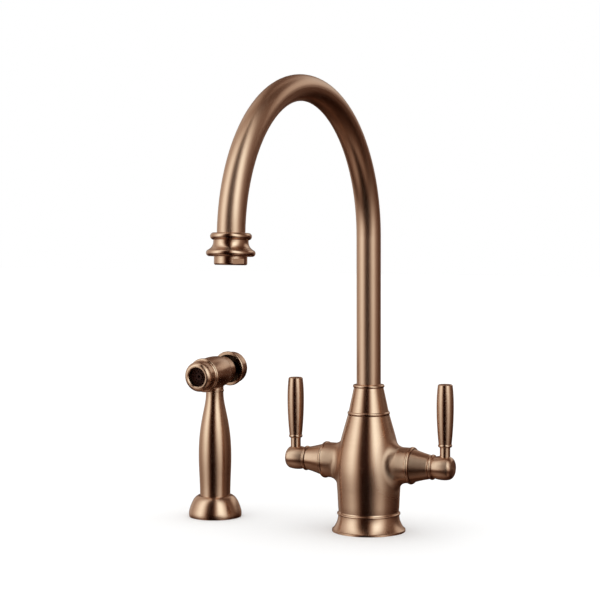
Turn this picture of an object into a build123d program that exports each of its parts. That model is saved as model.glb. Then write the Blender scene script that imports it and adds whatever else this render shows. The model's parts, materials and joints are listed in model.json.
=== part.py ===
from build123d import *
import os
from math import cos, sin, radians

os.makedirs("parts", exist_ok=True)

# Side spray kitchen faucet: a two-lever body with a swivelling gooseneck spout, and a hand
# spray that stands in its own holder. Millimetres. The origin is on the deck at the centre
# of the faucet body: +X runs along the arms to the cold lever, +Z is up, and the spout at
# rest points to -Y.

# Fits
running_gap = 0.08  # radial, a shaft that turns or slides in its bore
free_gap = 0.4  # between moving faces that never meet
face_gap = 0.05  # between flat faces that slide on each other
shell_gap = 0.3  # between a cover and what it hides, and under a soft valve face
groove_slack = 0.2  # a ring's groove is this much wider than the ring
edge_break = 0.5  # small bevels and steps on turned edges
passage_overlap = 1.0  # a passage starts this far inside what it opens from

# Foot ring
foot_radius = 33.7
foot_height = 18.3
foot_lip_height = 1.8
foot_lip_step = 0.8
foot_bead_size = 1.1
foot_bead_proud = 1.05
foot_waist_step = 0.35  # the waist under the bead is this much wider than the body
foot_bead_drop = 2.1  # bead centre below the top of the foot
gasket_width = 5.6
gasket_thickness = 1.2

# Valve body
body_low_radius = 27.7
body_swell_height = 31.3
body_swell = 0.8
body_low_lean = 0.12  # outward run per unit of rise at the foot
body_belly_radius = 29.7
body_belly_height = 59.0
body_top_radius = 19.1
body_top_height = 106.9
body_top_lean = 0.279  # inward run per unit of rise at the top
shoulder_drop = 20.9
shoulder_step = 5.9
arm_height = 62.8
arm_radius = 16.2
arm_reach = 45.0
arm_bead_size = 0.8
arm_bead_width = 3.4
arm_blend = 10.0
shank_thread_radius = 16.6
shank_thread_depth = 30.0
spigot_wall = 5.4
port_radius = 5.0
port_depth = 12.0
port_out = 9.5  # hot and cold ports from the centre plane
port_front = 4.5
spray_port_back = 9.0
passage_radius = 2.8
spray_passage_back = 3.0
outflow_out = 4.0
outflow_rise = 4.0  # where the hot and cold outflows meet, above the diverter
neck_wall = 2.5
neck_height = 11.1

# Spout bonnet
bonnet_height = 28.3
bonnet_base_step = 0.8  # its base is this much thinner than the top of the body
bonnet_bead_size = 1.6
bonnet_bead_proud = 1.15
bonnet_top_radius = 13.6
bonnet_top_bead = 0.9
bonnet_collar = 3.3

# Spout
tube_radius = 11.1
tube_wall = 1.5
riser_top = 270.1
arch_radius = 125.8
arch_angle = 177.5
shank_step = 0.6  # the turning part is thinner than the tube's bore
shank_wall = 1.9
shank_flange_rim = 1.3
shank_flange_height = 2.2
shank_length = 34.0  # below the flange
shank_spigot = 16.0  # above the flange, inside the tube
o_ring_size = 1.35
o_ring_rise = 3.4  # first ring above the lower bush
o_ring_pitch = 6.0
washer_height = 0.8
bush_height = 6.0
bush_wall = 2.0

# Outlet at the end of the spout, heights above its mouth
outlet_height = 24.9
outlet_neck_radius = 13.7
outlet_top_bead = 16.2
outlet_skirt_radius = 19.2
outlet_skirt_round = 2.1
outlet_crease = 0.4
outlet_skirt_low = 6.6
outlet_skirt_high = 11.9
outlet_neck_height = 17.9
outlet_collar_height = 5.5
outlet_collar_round = 1.9
outlet_drop = 24.8  # mouth below the end of the arch
outlet_socket = 10.0
outlet_ledge = 1.0  # between the tube's end and the washer
aerator_radius = 12.95
aerator_corner = 1.4
aerator_wall = 1.6
aerator_lip = 1.6
aerator_ledge = 1.0
aerator_thread_radius = 11.0
aerator_flat_width = 10.0
aerator_flat_low = 1.0
aerator_flat_height = 3.9
aerator_flat_turn = -30.0
insert_height = 3.8
insert_cell = 0.95
insert_pitch = 1.15
insert_rows = 7
screen_height = 0.5
screen_hole = 1.4
screen_pitch = 1.9
screen_rows = 7
outlet_washer_height = 1.5

# Diverter in the middle of the body
diverter_radius = 7.6
diverter_length = 19.0
mix_height = 7.45  # room between the diverter and the end of the shank
diverter_wall = 1.2
diverter_travel = 3.0
diverter_hole = 1.1
diverter_window_width = 4.0
diverter_window_height = 5.0
diverter_ledge = 2.0
plate_height = 2.0
spring_room = 6.0
poppet_height = 2.4
poppet_stem = 1.8
poppet_tail = 0.6
mix_step = 1.0  # the mixing chamber is this much wider than the cage

# Cartridges, distances out from the centre along the arm
cartridge_bore = 10.6
cartridge_seat = 17.4
cartridge_clear = 0.4
cartridge_thread = 10.0
cartridge_window = 6.0
disc_radius = 8.4
disc_height = 3.0
disc_port = 2.2
disc_notch = 4.0
lip_seal_height = 3.2
lip_seal_step = 1.0
stem_radius = 5.0
spline_radius = 4.0
gland_radius = 8.0
gland_length = 9.4
gland_flange = 2.6
gland_flange_radius = 12.2
stem_ring_size = 0.5
stem_ring_setback = 4.6
stem_shoulder = 1.0

# Arm bonnets and lever hubs
arm_bonnet_length = 16.9
arm_bonnet_base = 14.9
arm_bonnet_tip = 10.9
arm_bonnet_dip = 0.25  # the cone is this hollow halfway
arm_bonnet_groove = 0.6
arm_bonnet_bevel = 0.9
hub_length = 21.2
hub_radius = 10.95
hub_end_step = 0.55
hub_cove_radius = 9.65
hub_face_radius = 7.2
hub_dome = 0.4  # the end stands this far out at its middle
hub_bead_radius = 11.5
hub_bead_width = 2.6
hub_bead_round = 1.7
hub_swell_out = 12.0
hub_corner = 4.2
spline_depth = 10.9

# Levers
lever_setback = 13.1  # lever's axis from the inner end of its hub
lever_stem_radius = 4.7
lever_thread_radius = 3.0
lever_thread_depth = 12.0
lever_socket_rise = 4.2  # socket and thread above the spline in the hub
lever_thread_rise = 0.9
grip_bottom = 81.5
grip_top = 138.3
grip_radius = 7.7
grip_belly_height = 113.9
grip_flare_height = 93.0
grip_flare_radius = 6.7
grip_foot_radius = 5.9
grip_end_radius = 6.6
grip_bead_radius = 6.4
grip_bead_height = 2.8
grip_end_round = 0.9
grub_radius = 2.0
grub_length = 5.4
grub_setback = 5.6
grub_socket = 2.0

# Spray holder
holder_out = 163.2
holder_radius = 25.4
holder_rim_height = 2.6
holder_side_height = 9.3
holder_side_step = 1.4
holder_shoulder_height = 15.2
holder_shoulder_step = 3.9
holder_height = 20.2
holder_top_radius = 16.7
holder_crown_step = 2.2
holder_crown_drop = 1.5
holder_thread_radius = 15.9
holder_thread_depth = 8.0
liner_radius = 15.6
holder_lip = 1.2
holder_mouth_gap = 0.6
liner_lip = 0.2
liner_mouth_height = 1.1
liner_seat_drop = 4.4
liner_seat_slope = 2.4
wand_skirt = 2.0  # straight stretch of the wand's foot above its seat

# Wand
wand_foot_radius = 14.6
wand_belly_radius = 15.7
wand_belly_height = 56.0
wand_shoulder_radius = 14.4
wand_shoulder_height = 81.8
wand_throat_step = 2.9
wand_throat_drop = 20.5
wand_collar_step = 0.5
wand_collar_drop = 8.0
wand_neck_radius = 8.4
head_rise = 18.4  # the head's axis above the top of the handle
wand_bottom = 13.0
wand_wall = 4.6
tube_clamp_length = 28.5
cavity_taper = 8.0
neck_ring_radius = 9.0
neck_ring_height = 1.9
water_tube_radius = 5.6
water_tube_wall = 1.4
plug_height = 11.0
nipple_radius = 5.5
nipple_rise = 3.5
spigot_length = 9.0
spigot_ring_drop = 2.5
tube_start_rise = 1.5
connector_bore = 2.2
connector_skirt_radius = 8.0
connector_skirt = 4.2
hose_socket_radius = 4.0
hose_socket_depth = 9.0
clip_height = 0.8
clip_groove_depth = 0.9
clip_proud = 1.9
clip_opening = 6.4

# Spray head, distances forward along its axis from the wand's centre line
head_height = 138.9
head_tilt = 3.2
head_radius = 15.7  # at its belly
head_front = 18.0
head_front_radius = 14.5
head_belly_out = 6.0
head_step = -9.6
head_round = 3.0
head_round_drop = 1.9
head_end_step = 0.4
head_rear = -19.1
head_rear_radius = 12.7
head_thread_radius = 12.6
head_thread_length = 5.6
chamber_radius = 8.0
inlet_radius = 3.5
divider = 3.5
seat_start = 5.5
seat_height = 3.5
seat_bore = 4.4
nozzle_length = 16.2
nozzle_ridge_out = 2.0  # ridge ahead of the barrel
nozzle_ridge_width = 2.1
nozzle_shoulder = 0.7
nozzle_corner = 5.2
nozzle_radius = 14.4
nozzle_ridge_radius = 16.3
nozzle_lip_radius = 11.6
nozzle_lip_round = 0.9
nozzle_bore = 9.0
nozzle_bore_bevel = 0.8
nozzle_lip_depth = 6.4
face_height = 3.0
face_step = 2.0  # the face is this much thinner than the thread
face_boss_radius = 3.4
face_boss_height = 1.6
jet_radius = 0.65
centre_jet_radius = 1.3
jet_rings = ((4.95, 10), (7.2, 16))  # radius of each ring of jets, and how many

# Thumb cup
button_travel = 4.5
cup_clear = 2.2  # left between the cup and the barrel at full travel
cup_length = 13.2
cup_radius = 16.8
cup_wall = 3.5
cup_bead_width = 3.4
cup_bead_round = 0.9
cup_corner = 3.3
cup_floor = 4.4
cup_back_radius = 15.4
cup_boss_radius = 6.4
cup_boss_reach = 2.2  # into the pocket at the back of the barrel
cup_stem_seat = 2.4
valve_stem_radius = 3.0
poppet_radius = 6.4
poppet_thickness = 2.0
stem_waist = 1.5
stem_head = 1.8

# Springs
spring_wire = 0.45
spring_turns = 3
spring_step = 1.6  # centre of the coil outside the stem it goes round
spring_end_gap = 0.1

# Places worked out from the sizes above
deck = Plane.XY
upright = Plane.YZ  # (radius, height) about the faucet's axis, away from the arms
arm_axis = Axis((0, 0, arm_height), (1, 0, 0))
tube_bore = tube_radius - tube_wall
shank_radius = tube_bore - shank_step
shank_bore = shank_radius - shank_wall
spigot_radius = shank_thread_radius + spigot_wall
neck_bore = shank_radius + bush_wall
neck_radius = neck_bore + neck_wall
neck_top = body_top_height + neck_height
flange_bottom = neck_top + washer_height + face_gap
flange_top = flange_bottom + shank_flange_height
flange_radius = tube_radius + shank_flange_rim
shank_bottom = flange_bottom - shank_length
bore_floor = shank_bottom - free_gap
diverter_top = bore_floor - mix_height
diverter_floor = diverter_top - diverter_length
mix_radius = diverter_radius + mix_step
bonnet_end = arm_reach + arm_bonnet_length
hub_start = bonnet_end + free_gap
hub_end = hub_start + hub_length
lever_out = hub_start + lever_setback
gland_end = arm_reach + gland_flange + gland_length
spline_end = hub_start + spline_depth
cup_front = head_rear - button_travel - cup_clear
cup_rear = cup_front - cup_length
seal_end = cartridge_seat + lip_seal_height
wand_top = head_height - head_rise
sides = {"hot": -1, "cold": 1}  # the hot lever is on the left of someone at the sink


def block(x_from, x_to, y_from, y_to, mode=Mode.ADD):
    """A rectangle of the sketch between two values of x and two of y."""
    with Locations(((x_from + x_to) / 2, (y_from + y_to) / 2)):
        Rectangle(x_to - x_from, y_to - y_from, mode=mode)


# Foot ring: stands on the deck and hides the joint under the body
waist = body_low_radius + foot_waist_step
bead_low = foot_height - foot_bead_drop - foot_bead_size
bead_high = foot_height - foot_bead_drop + foot_bead_size
gasket_inner = (spigot_radius + foot_radius - gasket_width) / 2
gasket_outer = gasket_inner + gasket_width

with BuildPart() as foot_ring:
    with BuildSketch(upright):
        with BuildLine():
            lip = Polyline(
                (spigot_radius, foot_height),
                (spigot_radius, 0),
                (foot_radius, 0),
                (foot_radius, foot_lip_height),
                (foot_radius - foot_lip_step, foot_lip_height + edge_break),
            )
            TangentArc((waist, bead_low), lip @ 1, tangent=(0, -1))
            bead = ThreePointArc(
                (waist, bead_low),
                (waist + foot_bead_proud, (bead_low + bead_high) / 2),
                (waist, bead_high),
            )
            Polyline(bead @ 1, (body_low_radius, foot_height), (spigot_radius, foot_height))
        make_face()
    revolve(axis=Axis.Z)
    with BuildSketch(upright):
        block(gasket_inner, gasket_outer, 0, gasket_thickness)
    revolve(axis=Axis.Z, mode=Mode.SUBTRACT)
foot_ring.part.label = "foot_ring"
export_step(foot_ring.part, "parts/foot_ring.step")

with BuildPart() as base_gasket:
    with BuildSketch(upright):
        block(gasket_inner, gasket_outer, 0, gasket_thickness)
    revolve(axis=Axis.Z)
base_gasket.part.label = "base_gasket"
export_step(base_gasket.part, "parts/base_gasket.step")


# Valve body: one casting with its two arms, drilled for the water
def arm_section(side):
    """A plane through the arms: x runs out from the centre, y up from the arms' axis."""
    return Plane(origin=(0, 0, arm_height), x_dir=(side, 0, 0), z_dir=(0, -side, 0))


def arm_face(side, out):
    """A plane square to an arm, at a distance out from the centre."""
    return Plane(origin=(side * out, 0, arm_height), x_dir=(0, side, 0), z_dir=(side, 0, 0))


def passage(start, end):
    """Drills a water passage between two points of the part being made."""
    route = Vector(*end) - Vector(*start)
    with BuildSketch(Plane(origin=start, z_dir=route)) as drill:
        Circle(passage_radius)
    extrude(drill.sketch, amount=route.length, mode=Mode.SUBTRACT)


with BuildPart() as valve_body:
    with BuildSketch(upright):
        with BuildLine():
            skin = Spline(
                (body_low_radius, foot_height),
                (body_low_radius + body_swell, body_swell_height),
                (body_belly_radius, body_belly_height),
                (body_top_radius + shoulder_step, body_top_height - shoulder_drop),
                (body_top_radius, body_top_height),
                tangents=((body_low_lean, 1), (-body_top_lean, 1)),
            )
            Polyline(
                skin @ 1,
                (neck_radius, body_top_height),
                (neck_radius, neck_top),
                (0, neck_top),
                (0, 0),
                (spigot_radius, 0),
                (spigot_radius, foot_height),
                skin @ 0,
            )
        make_face()
    revolve(axis=Axis.Z)
    for side in sides.values():
        with BuildSketch(arm_section(side)):
            with BuildLine():
                arm_bead = ThreePointArc(
                    (arm_reach - arm_bead_width, arm_radius),
                    (arm_reach - arm_bead_width / 2, arm_radius + arm_bead_size),
                    (arm_reach, arm_radius - edge_break),
                )
                Polyline(arm_bead @ 1, (arm_reach, 0), (0, 0), (0, arm_radius), arm_bead @ 0)
            make_face()
        revolve(axis=arm_axis)
    joins = valve_body.edges().filter_by(
        lambda e: e.geom_type not in (GeomType.LINE, GeomType.CIRCLE)
        and body_low_radius / 2 < abs(e.center(CenterOf.BOUNDING_BOX).X) < arm_reach - 2 * arm_bead_width
    )
    fillet(joins, radius=arm_blend)
    with BuildSketch(deck):
        Circle(shank_thread_radius)
    extrude(amount=shank_thread_depth, mode=Mode.SUBTRACT)
    with BuildSketch(upright):
        block(0, diverter_radius, diverter_floor, diverter_top)
        block(0, mix_radius, diverter_top, bore_floor)
        block(0, neck_bore, bore_floor, neck_top)
    revolve(axis=Axis.Z, mode=Mode.SUBTRACT)
    with BuildSketch(deck.offset(shank_thread_depth)):
        with Locations((-port_out, -port_front), (port_out, -port_front), (0, spray_port_back)):
            Circle(port_radius)
    extrude(amount=port_depth, mode=Mode.SUBTRACT)
    port_top = shank_thread_depth + port_depth - passage_overlap
    passage((0, spray_port_back, port_top), (0, spray_passage_back, diverter_floor + passage_overlap))
    for side in sides.values():
        with BuildSketch(arm_section(side)):
            block(cartridge_seat, arm_reach, 0, cartridge_bore)
        revolve(axis=arm_axis, mode=Mode.SUBTRACT)
        passage(
            (side * port_out, -port_front, port_top),
            (side * (cartridge_seat + passage_overlap), 0, arm_height),
        )
        passage(
            (side * (seal_end + passage_radius), 0, arm_height + cartridge_bore - passage_overlap),
            (side * outflow_out, 0, diverter_top + outflow_rise),
        )
valve_body.part.label = "valve_body"
export_step(valve_body.part, "parts/valve_body.step")

# Spout bonnet: screws onto the neck of the body and traps the spout's flange
bonnet_top = body_top_height + bonnet_height
bonnet_base = body_top_radius - bonnet_base_step
with BuildPart() as spout_bonnet:
    with BuildSketch(upright):
        with BuildLine():
            low_bead = ThreePointArc(
                (bonnet_base, body_top_height),
                (bonnet_base + bonnet_bead_proud, body_top_height + bonnet_bead_size),
                (bonnet_base, body_top_height + 2 * bonnet_bead_size),
            )
            cone = Line(low_bead @ 1, (bonnet_top_radius, bonnet_top - bonnet_collar))
            high_bead = ThreePointArc(
                cone @ 1,
                (bonnet_top_radius + bonnet_top_bead, bonnet_top - bonnet_collar / 2),
                (bonnet_top_radius, bonnet_top - edge_break),
            )
            Polyline(
                high_bead @ 1,
                (tube_radius + free_gap, bonnet_top),
                (tube_radius + free_gap, flange_top + free_gap),
                (flange_radius + free_gap, flange_top + free_gap),
                (flange_radius + free_gap, neck_top),
                (neck_radius, neck_top),
                (neck_radius, body_top_height),
                low_bead @ 0,
            )
        make_face()
    revolve(axis=Axis.Z)
spout_bonnet.part.label = "spout_bonnet"
export_step(spout_bonnet.part, "parts/spout_bonnet.step")

# Bushes and washer that the spout turns on
with BuildPart() as spout_bushes:
    with BuildSketch(upright):
        for low in (bore_floor, neck_top - bush_height):
            block(shank_radius + running_gap, neck_bore, low, low + bush_height)
    revolve(axis=Axis.Z)
spout_bushes.part.label = "spout_bushes"
export_step(spout_bushes.part, "parts/spout_bushes.step")

with BuildPart() as thrust_washer:
    with BuildSketch(upright):
        block(shank_radius + free_gap, flange_radius, neck_top, neck_top + washer_height)
    revolve(axis=Axis.Z)
thrust_washer.part.label = "thrust_washer"
export_step(thrust_washer.part, "parts/thrust_washer.step")

# Spout shank: brazed into the tube, with two grooves for its rings
ring_outer = neck_bore - face_gap
ring_middle = ring_outer - o_ring_size
groove_radius = ring_middle - o_ring_size - face_gap
groove_width = 2 * o_ring_size + groove_slack
first_ring = bore_floor + bush_height + o_ring_rise
ring_heights = [first_ring, first_ring + o_ring_pitch]

with BuildPart() as spout_shank:
    with BuildSketch(upright):
        block(shank_bore, shank_radius, shank_bottom, flange_bottom)
        block(shank_bore, flange_radius, flange_bottom, flange_top)
        block(shank_bore, tube_bore, flange_top, flange_top + shank_spigot)
        for z in ring_heights:
            with Locations(((groove_radius + shank_radius) / 2, z)):
                Rectangle(shank_radius - groove_radius, groove_width, mode=Mode.SUBTRACT)
    revolve(axis=Axis.Z)
spout_shank.part.label = "spout_shank"
export_step(spout_shank.part, "parts/spout_shank.step")

with BuildPart() as spout_o_rings:
    with BuildSketch(upright):
        with Locations(*[(ring_middle, z) for z in ring_heights]):
            Circle(o_ring_size)
    revolve(axis=Axis.Z)
spout_o_rings.part.label = "spout_o_rings"
export_step(spout_o_rings.part, "parts/spout_o_rings.step")

# Gooseneck: a straight riser, a half turn and a short straight end inside the outlet
with BuildPart() as spout_tube:
    with BuildLine(Plane.YZ) as spout_path:
        riser = Line((0, flange_top), (0, riser_top))
        arch = JernArc(riser @ 1, (0, 1), arch_radius, arch_angle)
        Line(arch @ 1, arch @ 1 + (arch % 1) * (outlet_drop - outlet_height + outlet_socket))
    with BuildSketch(deck.offset(flange_top)):
        Circle(tube_radius)
        Circle(tube_bore, mode=Mode.SUBTRACT)
    sweep()
spout_tube.part.label = "spout_tube"
export_step(spout_tube.part, "parts/spout_tube.step")

# Outlet: the flow leaves along outlet_down, and heights are measured up from the mouth
turn = radians(arch_angle)
arch_end = Vector(0, -arch_radius * (1 - cos(turn)), riser_top + arch_radius * sin(turn))
outlet_down = Vector(0, -sin(turn), cos(turn))
outlet_up = outlet_down * -1
mouth = arch_end + outlet_down * outlet_drop
outlet_axis = Axis(mouth, outlet_up)
outlet_section = Plane(origin=mouth, x_dir=(1, 0, 0), z_dir=Vector(1, 0, 0).cross(outlet_up))


def outlet_level(height):
    """A plane across the outlet at a height above its mouth."""
    return Plane(origin=mouth + outlet_up * height, x_dir=(1, 0, 0), z_dir=outlet_up)


tube_stop = outlet_height - outlet_socket
washer_top = tube_stop - outlet_ledge
washer_low = washer_top - outlet_washer_height
skirt_edge = outlet_skirt_radius - outlet_skirt_round
collar_low = outlet_height - outlet_collar_height

with BuildPart() as outlet_fitting:
    with BuildSketch(outlet_section):
        with BuildLine():
            skirt = ThreePointArc(
                (skirt_edge, outlet_skirt_low),
                (outlet_skirt_radius, (outlet_skirt_low + outlet_skirt_high) / 2),
                (skirt_edge, outlet_skirt_high),
            )
            crease = Line(skirt @ 1, (skirt_edge - outlet_crease, outlet_skirt_high + outlet_crease))
            cove = TangentArc(
                (outlet_neck_radius, outlet_neck_height), crease @ 1, tangent=(0, -1)
            )
            throat = Line(cove @ 0, (outlet_neck_radius, collar_low))
            collar = ThreePointArc(
                (outlet_neck_radius + outlet_crease, collar_low),
                (outlet_top_bead, outlet_height - outlet_collar_height / 2),
                (outlet_top_bead - outlet_collar_round, outlet_height),
            )
            Line(throat @ 1, collar @ 0)
            Polyline(
                collar @ 1,
                (tube_radius, outlet_height),
                (tube_radius, tube_stop),
                (tube_bore, tube_stop),
                (tube_bore, washer_top),
                (aerator_thread_radius, washer_top),
                (aerator_thread_radius, outlet_skirt_low),
                skirt @ 0,
            )
        make_face()
    revolve(axis=outlet_axis)
outlet_fitting.part.label = "outlet_fitting"
export_step(outlet_fitting.part, "parts/outlet_fitting.step")

aerator_bore = aerator_thread_radius - aerator_wall
mouth_radius = aerator_bore - aerator_ledge
flat_out = (aerator_radius**2 - (aerator_flat_width / 2) ** 2) ** 0.5
with BuildPart() as aerator_housing:
    with BuildSketch(outlet_section):
        with BuildLine():
            rim = TangentArc(
                (aerator_radius - aerator_corner, 0), (aerator_radius, aerator_corner), tangent=(1, 0)
            )
            Polyline(
                rim @ 1,
                (aerator_radius, outlet_skirt_low),
                (aerator_thread_radius, outlet_skirt_low),
                (aerator_thread_radius, washer_low),
                (aerator_bore, washer_low),
                (aerator_bore, aerator_lip),
                (mouth_radius, aerator_lip),
                (mouth_radius, 0),
                rim @ 0,
            )
        make_face()
    revolve(axis=outlet_axis)
    with BuildSketch(outlet_level(aerator_flat_low)):
        with PolarLocations(flat_out + aerator_radius / 2, 2, start_angle=aerator_flat_turn):
            Rectangle(aerator_radius, 2 * aerator_radius)
    extrude(amount=aerator_flat_height, mode=Mode.SUBTRACT)
aerator_housing.part.label = "aerator_housing"
export_step(aerator_housing.part, "parts/aerator_housing.step")

with BuildPart() as aerator_insert:
    with BuildSketch(outlet_level(aerator_lip)):
        Circle(aerator_bore)
        with HexLocations(insert_pitch, insert_rows, insert_rows):
            RegularPolygon(insert_cell, 6, mode=Mode.SUBTRACT)
    extrude(amount=insert_height)
aerator_insert.part.label = "aerator_insert"
export_step(aerator_insert.part, "parts/aerator_insert.step")

with BuildPart() as aerator_screen:
    with BuildSketch(outlet_level(aerator_lip + insert_height)):
        Circle(aerator_bore)
        with GridLocations(screen_pitch, screen_pitch, screen_rows, screen_rows):
            Rectangle(screen_hole, screen_hole, mode=Mode.SUBTRACT)
    extrude(amount=screen_height)
aerator_screen.part.label = "aerator_screen"
export_step(aerator_screen.part, "parts/aerator_screen.step")

with BuildPart() as outlet_washer:
    with BuildSketch(outlet_section):
        block(mouth_radius, aerator_thread_radius, washer_low, washer_top)
    revolve(axis=outlet_axis)
outlet_washer.part.label = "outlet_washer"
export_step(outlet_washer.part, "parts/outlet_washer.step")

# Diverter: its poppet drops when the hand spray opens and sends the water there
plate_low = diverter_floor + diverter_travel + poppet_tail + free_gap
plate_high = plate_low + plate_height
poppet_low = plate_high + spring_room
poppet_high = poppet_low + poppet_height
seat_low = poppet_high + shell_gap
cage_bore = diverter_radius - diverter_wall

with BuildPart() as diverter_cage:
    with BuildSketch(upright):
        block(cage_bore, diverter_radius, diverter_floor, diverter_top)
        block(poppet_stem + running_gap, diverter_radius, plate_low, plate_high)
        block(cage_bore - diverter_ledge, diverter_radius, seat_low, diverter_top)
    revolve(axis=Axis.Z)
    with BuildSketch(deck.offset(plate_low)):
        with PolarLocations((poppet_stem + cage_bore) / 2, 6):
            Circle(diverter_hole)
    extrude(amount=plate_height, mode=Mode.SUBTRACT)
    with BuildSketch(deck.offset(plate_high)):
        with PolarLocations(diverter_radius, 4, start_angle=45):
            Rectangle(2 * diverter_wall + edge_break, diverter_window_width)
    extrude(amount=diverter_window_height, mode=Mode.SUBTRACT)
diverter_cage.part.label = "diverter_cage"
export_step(diverter_cage.part, "parts/diverter_cage.step")

with BuildPart() as diverter_poppet:
    with BuildSketch(upright):
        block(0, poppet_stem, plate_low - poppet_tail, poppet_low)
        block(0, cage_bore - free_gap, poppet_low, poppet_high)
    revolve(axis=Axis.Z)
diverter_poppet.part.label = "diverter_poppet"
export_step(diverter_poppet.part, "parts/diverter_poppet.step")


spring_margin = spring_wire + spring_end_gap


def coil(start, along, length, stem):
    """Draws a coil spring round a stem in the part being made, from a point along a direction."""
    with BuildLine() as path:
        helix = Helix(length / spring_turns, length, stem + spring_step, center=start, direction=along)
    with BuildSketch(Plane(origin=helix @ 0, z_dir=helix % 0)) as section_of_wire:
        Circle(spring_wire)
    sweep(section_of_wire.sketch, path=path.line)


with BuildPart() as diverter_spring:
    coil((0, 0, plate_high + spring_margin), (0, 0, 1), spring_room - 2 * spring_margin, poppet_stem)
diverter_spring.part.label = "diverter_spring"
export_step(diverter_spring.part, "parts/diverter_spring.step")

# The two cartridges, arm bonnets and levers: the same pieces on each arm
fixed_end = seal_end + disc_height
moving_start = fixed_end + face_gap
moving_end = moving_start + disc_height
driver_end = moving_end + disc_height
chamber_end = driver_end + free_gap
thread_start = arm_reach - cartridge_thread
cavity_radius = disc_radius + shell_gap
seal_groove = gland_end - stem_ring_setback
ring_centre = stem_radius + running_gap - face_gap - stem_ring_size
ring_room = stem_ring_size + face_gap
cover_end = arm_reach + gland_flange + shell_gap
cover_radius = gland_flange_radius + shell_gap
gland_cover = gland_end + stem_shoulder
grub_out = hub_start + grub_setback
socket_floor = arm_height + spline_radius + lever_socket_rise
thread_floor = arm_height + spline_radius + lever_thread_rise
grip_hole_top = grip_bottom + lever_thread_depth
grub_end = deck.offset(arm_height - spline_radius - grub_length)

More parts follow.
